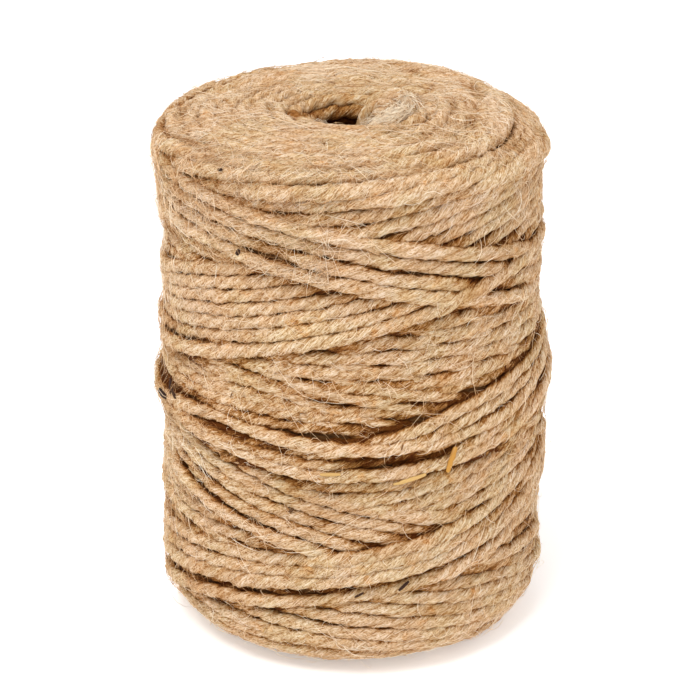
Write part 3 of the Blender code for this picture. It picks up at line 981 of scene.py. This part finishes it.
# ======== materials
class Nodes:
    """A material's nodes, added one at a time and joined by name."""

    def __init__(self, name):
        self.material = bpy.data.materials.new(name)
        self.material.use_nodes = True
        self.tree = self.material.node_tree
        self.shader = self.tree.nodes["Principled BSDF"]

    def add(self, kind, settings=None, **inputs):
        """A node of this kind, with settings on it, and values or links on its inputs."""
        node = self.tree.nodes.new("ShaderNode" + kind)
        for key, value in (settings or {}).items():
            setattr(node, key, value)
        for key, value in inputs.items():
            self.join(node, key.replace("_", " "), value)
        return node

    def join(self, node, key, value):
        """Sets the input to a value, or links it where the value is another node's output."""
        if isinstance(value, bpy.types.NodeSocket):
            self.tree.links.new(value, node.inputs[key])
        else:
            node.inputs[key].default_value = value

    def attribute(self, name, output="Fac"):
        """What the mesh holds at each point under this name."""
        return self.add("Attribute", {"attribute_name": name}).outputs[output]

    def where(self):
        """The point's own place."""
        return self.add("TexCoord").outputs["Object"]

    def stretched(self, vector, *scale):
        """The vector with each of its three parts scaled."""
        return self.add("Mapping", Vector=vector, Scale=scale).outputs[0]

    def noise(self, vector, scale=1.0, **inputs):
        """Soft noise from nought to one, finer as the scale grows."""
        return self.add("TexNoise", Vector=vector, Scale=scale, **inputs).outputs["Fac"]

    def maths(self, operation, *values):
        """The operation's result on these values, in their order."""
        node = self.add("Math", {"operation": operation})
        for index, value in enumerate(values):
            self.join(node, index, value)
        return node.outputs[0]

    def ramp(self, factor, *stops):
        """A colour ramp through the stops, each a position and a colour."""
        node = self.add("ValToRGB", Fac=factor)
        elements = node.color_ramp.elements
        while len(elements) < len(stops):
            elements.new(0.5)
        for element, (position, colour) in zip(elements, stops):
            element.position = position
            element.color = (*colour, 1.0)
        return node.outputs["Color"]

    def product(self, *colours):
        """The colours multiplied, one after another."""
        product = colours[0]
        for colour in colours[1:]:
            node = self.add("Mix", {"data_type": "RGBA", "blend_type": "MULTIPLY"})
            for index, value in ((0, 1.0), (6, product), (7, colour)):
                self.join(node, index, value)
            product = node.outputs[2]
        return product

    def bump(self, height, strength, distance):
        """Bumps the surface by the height, this strongly and over this distance."""
        node = self.add("Bump", Height=height, Strength=strength, Distance=distance)
        self.join(self.shader, "Normal", node.outputs[0])

    def finished(self, colour, roughness, specular):
        """The material, with its colour and its shine on the shader."""
        self.join(self.shader, "Base Color", colour)
        self.join(self.shader, "Roughness", roughness)
        self.join(self.shader, "Specular IOR Level", specular)
        return self.material


def jute_material():
    """Jute twine, as a product of colours.

    Streaks along the fibres, blotches, a slow drift of hue, browner patches with painted shade
    in crescents round the hollow, each strand's own shade, dark dots, warm stains, and painted
    shade in the grooves between plies and in the gaps between turns.
    """
    nodes = Nodes("jute_twine")
    fibre = nodes.attribute("fibre", "Vector")
    where = nodes.where()
    fine = nodes.noise(nodes.stretched(fibre, 3600.0, 3600.0, 800.0), Detail=2.0, Roughness=0.8)
    broad = nodes.noise(nodes.stretched(fibre, 900.0, 900.0, 260.0), Detail=3.0)
    pale = nodes.add("MapRange", Value=nodes.attribute("patch"), From_Min=-4.0, From_Max=2.5)
    ragged = nodes.maths("MULTIPLY_ADD", fine, -0.7, 0.35)
    streak = nodes.ramp(fine, (0.34, (0.30, 0.145, 0.052)), (0.43, (0.556, 0.373, 0.210)),
                        (0.54, (0.705, 0.540, 0.386)), (0.66, (0.788, 0.687, 0.581)))
    blotch = nodes.ramp(broad, (0.34, (0.88, 0.78, 0.65)), (0.47, (0.98, 0.975, 0.965)),
                        (0.62, WHITE))
    hue = nodes.ramp(nodes.noise(where, 85.0, Detail=2.0), (0.38, (0.975, 1.0, 0.955)),
                     (0.50, WHITE), (0.62, (1.0, 0.975, 0.975)))
    # browner patches of the jute, and painted shade in crescents round the hollow
    patch_and_arc_shade = nodes.ramp(pale.outputs["Result"], (0.06, (0.52, 0.31, 0.14)),
                        (0.24, (0.91, 0.82, 0.69)), (0.42, (0.97, 0.95, 0.92)), (0.70, WHITE))
    strand = nodes.ramp(nodes.attribute("shade"), (0.0, (0.84, 0.775, 0.68)),
                        (0.45, (0.95, 0.94, 0.90)), (1.0, WHITE))
    dots = nodes.ramp(nodes.noise(where, 2100.0, Detail=1.0), (0.32, (0.68, 0.56, 0.44)),
                      (0.43, WHITE))
    warm = nodes.ramp(nodes.noise(where, 240.0, Detail=4.0, Roughness=0.7), (0.40, WHITE),
                      (0.60, (1.0, 0.96, 0.90)), (0.68, (0.97, 0.78, 0.56)))
    # painted shade in the grooves between plies, darkest at a groove
    groove = nodes.ramp(nodes.attribute("ply_crest"), (0.0, (0.77, 0.68, 0.56)),
                        (0.45, (0.97, 0.96, 0.94)), (1.0, WHITE))
    # painted shade in the gaps between turns, darker the deeper a point lies, its edge broken by
    # fine noise
    gap = nodes.ramp(nodes.maths("ADD", nodes.attribute("sunk"), ragged), (0.12, WHITE),
                     (0.30, (0.88, 0.812, 0.69)), (0.46, (0.565, 0.368, 0.168)),
                     (0.66, (0.16, 0.066, 0.012)))
    nodes.bump(fine, 0.8, 0.00025)
    colour = nodes.product(streak, blotch, hue, patch_and_arc_shade, strand, dots, warm, groove, gap)
    return nodes.finished(colour, 0.86, 0.08)


def core_shade_material():
    """Packed twine in deep shade, painted a near-black umber, with a coarse fibrous grain."""
    nodes = Nodes("core_painted_shade")
    grain = nodes.noise(nodes.stretched(nodes.where(), 500.0, 500.0, 1600.0), Detail=3.0)
    nodes.bump(grain, 0.7, 0.0004)
    # painted shade: near black, as the core lies deep among the turns
    colour = nodes.ramp(grain, (0.35, (0.040, 0.017, 0.006)), (0.65, (0.135, 0.060, 0.018)))
    return nodes.finished(colour, 0.95, 0.1)


def fuzz_material():
    """Single jute fibres: pale straw, each of its own shade, with painted shade over gaps and
    arcs.
    """
    nodes = Nodes("loose_jute_fibre")
    colour = nodes.ramp(nodes.attribute("shade"), (0.0, (0.30, 0.130, 0.042)),
                        (0.20, (0.70, 0.435, 0.220)), (0.50, (0.84, 0.640, 0.432)),
                        (0.80, (0.90, 0.755, 0.572)), (1.0, (0.98, 0.885, 0.720)))
    return nodes.finished(colour, 0.7, 0.12)


def straw_material():
    """Bits of bark, nearly black, to bits of golden straw, by each bit's tone."""
    nodes = Nodes("straw_and_bark")
    nodes.bump(nodes.noise(nodes.where(), 2500.0), 0.5, 0.0002)
    colour = nodes.ramp(nodes.attribute("tone"), (0.0, (0.020, 0.010, 0.009)),
                        (0.15, (0.075, 0.036, 0.018)), (0.6, (0.30, 0.145, 0.050)),
                        (0.92, (0.57, 0.365, 0.140)), (1.0, (0.50, 0.250, 0.055)))
    return nodes.finished(colour, 0.85, 0.1)


def floor_material():
    """A plain white studio floor that glows a little, with a trace of unevenness."""
    nodes = Nodes("studio_floor")
    colour = nodes.ramp(nodes.noise(nodes.where(), 3.0), (0.3, (0.94, 0.94, 0.94)),
                        (0.7, (0.96, 0.96, 0.96)))
    nodes.join(nodes.shader, "Emission Color", colour)
    nodes.join(nodes.shader, "Emission Strength", 0.30)
    return nodes.finished(colour, 0.9, 0.5)


# ======== studio
def floor():
    """A wide flat floor just under the ball."""
    near, far = -FLOOR_REACH, FLOOR_REACH
    points = np.array([(near, near, FLOOR_HEIGHT), (far, near, FLOOR_HEIGHT),
                       (far, far, FLOOR_HEIGHT), (near, far, FLOOR_HEIGHT)])
    mesh = faced_mesh("floor", points, np.array([[0, 1, 2, 3]]), np.zeros((0, 3), int))
    mesh.materials.append(floor_material())
    ground = placed("floor", mesh)


def aimed(thing, place, target):
    """Puts a lamp or camera at its place, its own -Z towards the target."""
    x, y, z = (t - p for t, p in zip(target, place))
    thing.location = place
    thing.rotation_euler = (math.atan2(math.hypot(x, y), -z), 0.0, math.atan2(-x, y))


def studio():
    """Soft light from all round, and each lamp as a square aimed at the ball's middle."""
    scene = bpy.context.scene
    scene.view_settings.view_transform = "Standard"
    scene.world = bpy.data.worlds.new("studio_light")
    scene.world.use_nodes = True
    backdrop = scene.world.node_tree.nodes["Background"].inputs
    backdrop["Color"].default_value = (*WHITE, 1.0)
    backdrop["Strength"].default_value = BACKDROP_STRENGTH
    for lamp in LAMPS:
        light = bpy.data.lights.new(lamp.name, "AREA")
        light.size = lamp.size
        light.energy = lamp.power
        light.color = lamp.colour
        aimed(placed(lamp.name, light), lamp.place, (0.0, 0.0, BALL_HEIGHT / 2.0))


def camera():
    """The photograph's view: level round the ball, tilted down on it from the front."""
    tilt = math.radians(CAMERA_TILT)
    lens = bpy.data.cameras.new("camera")
    lens.lens = CAMERA_LENS
    lens.sensor_width = SENSOR_WIDTH
    x, y, z = CAMERA_TARGET
    place = (x, y - CAMERA_DISTANCE * math.cos(tilt), z + CAMERA_DISTANCE * math.sin(tilt))
    thing = placed("camera", lens)
    aimed(thing, place, CAMERA_TARGET)
    bpy.context.scene.camera = thing


# ======== the scene
def main():
    """Lays the twine, builds its pieces and their looks, and sets up the studio."""
    rng = np.random.default_rng(SEED)
    camera()
    winding = Winding(rng)
    jute = jute_material()
    wound_core(winding, core_shade_material())
    wound_pieces(winding, jute, rng)
    for strand in LOOSE_STRANDS:
        loose_strand(strand, jute, rng)
    fuzz = fuzz_material()
    for coat in FIBRE_COATS:
        fibre_coat(coat, winding, fuzz, rng)
    for strand in LOOSE_STRANDS:
        frayed_fibres(strand, fuzz, rng)
    slivers(winding, straw_material(), rng)
    floor()
    studio()


main()
